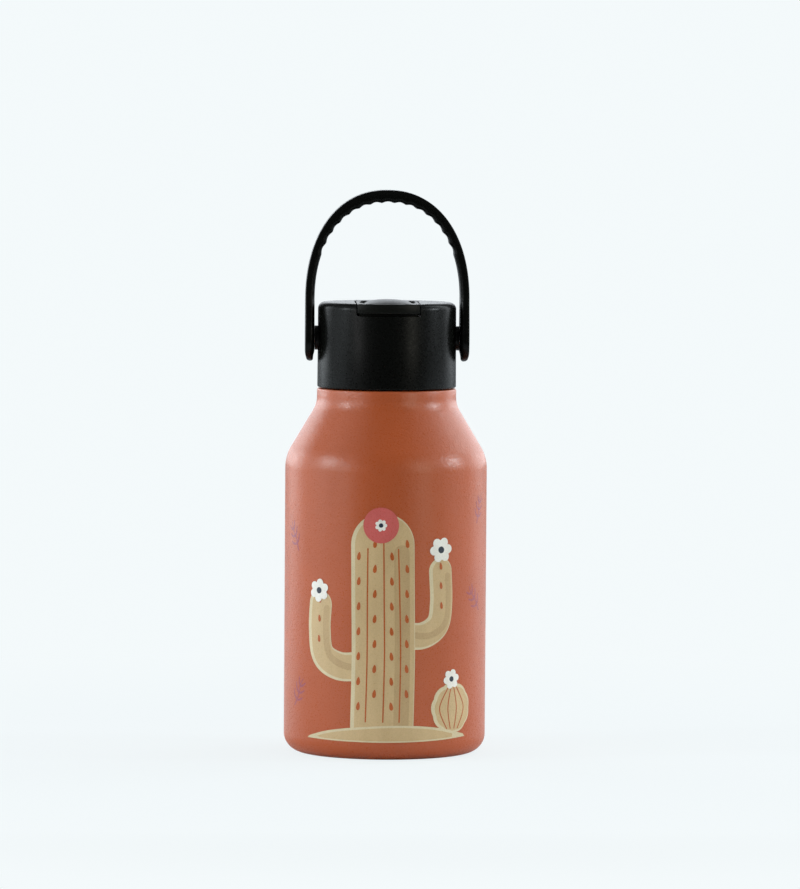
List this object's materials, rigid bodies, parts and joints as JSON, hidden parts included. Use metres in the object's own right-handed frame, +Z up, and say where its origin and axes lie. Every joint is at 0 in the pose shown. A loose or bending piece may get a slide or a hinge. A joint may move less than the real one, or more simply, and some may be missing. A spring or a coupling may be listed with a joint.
{
  "type": "children's water bottle",
  "caption": "Insulated steel bottle with a tapered shoulder, a screw lid with a flip cover over a soft straw spout, and a swinging bail handle.",
  "frame": {"origin": "centre of the flat base, on the surface the bottle stands on", "axes": "+Z up along the bottle's axis, -Y to the front where the flip cover opens, +X to the bottle's right seen from the front, along the handle's pivot axis"},
  "size_m": [0.073, 0.073, 0.2035],
  "materials": {
    "powder_coat": "satin terracotta powder coat on steel",
    "steel": "satin stainless steel",
    "getter_alloy": "dull sintered metal",
    "black_plastic": "fine-textured black",
    "liner_plastic": "smooth black",
    "grey_silicone": "matte",
    "foam": "closed-cell foam",
    "clear_silicone": "satin translucent",
    "straw_plastic": "smooth translucent"
  },
  "bodies": {
    "bottle": {"outer_shell": "powder_coat", "inner_flask": "steel", "base_plate": "steel", "base_cover": "steel", "seal_bead": "getter_alloy", "getter": "getter_alloy"},
    "lid_seal": {"lid_gasket": "grey_silicone"},
    "lid": {"lid_shell": "black_plastic", "lid_liner": "liner_plastic", "lid_foam_left": "foam", "lid_foam_right": "foam", "cover_pin": "steel", "spout_base": "clear_silicone", "spout_neck": "clear_silicone", "straw_adapter": "straw_plastic", "straw": "straw_plastic", "vent_valve": "clear_silicone", "pivot_bush_left": "liner_plastic", "pivot_bush_right": "liner_plastic"},
    "cover": {"flip_cover": "black_plastic"},
    "spout": {"spout_nozzle": "clear_silicone"},
    "bail": {"handle": "black_plastic", "handle_pin_left": "steel", "handle_pin_right": "steel"}
  },
  "joints": [
    {"name": "lid_lift", "type": "slide", "parent": "bottle", "child": "lid_seal", "axis": [0, 0, 1], "range_m": [0, 0.006]},
    {"name": "lid_turn", "type": "hinge", "parent": "lid_seal", "child": "lid", "pos_m": [0, 0, 0.1322], "axis": [0, 0, 1], "range_deg": [0, 540]},
    {"name": "cover_hinge", "type": "hinge", "parent": "lid", "child": "cover", "pos_m": [0, 0.008, 0.161], "axis": [-1, 0, 0], "range_deg": [0, 100]},
    {"name": "spout_fold", "type": "hinge", "parent": "lid", "child": "spout", "pos_m": [0, 0, 0.1583], "axis": [-1, 0, 0], "range_deg": [0, 85], "deforming": ["spout_neck"]},
    {"name": "handle_swing", "type": "hinge", "parent": "lid", "child": "bail", "pos_m": [0, 0, 0.15], "axis": [1, 0, 0], "range_deg": [-130, 130]}
  ],
  "couplings": [
    {"joint": "lid_lift", "follows": "lid_turn", "m_per_rad": 0.00063662},
    {"joint": "spout_fold", "follows": "cover_hinge", "ratio": 0.85}
  ]
}
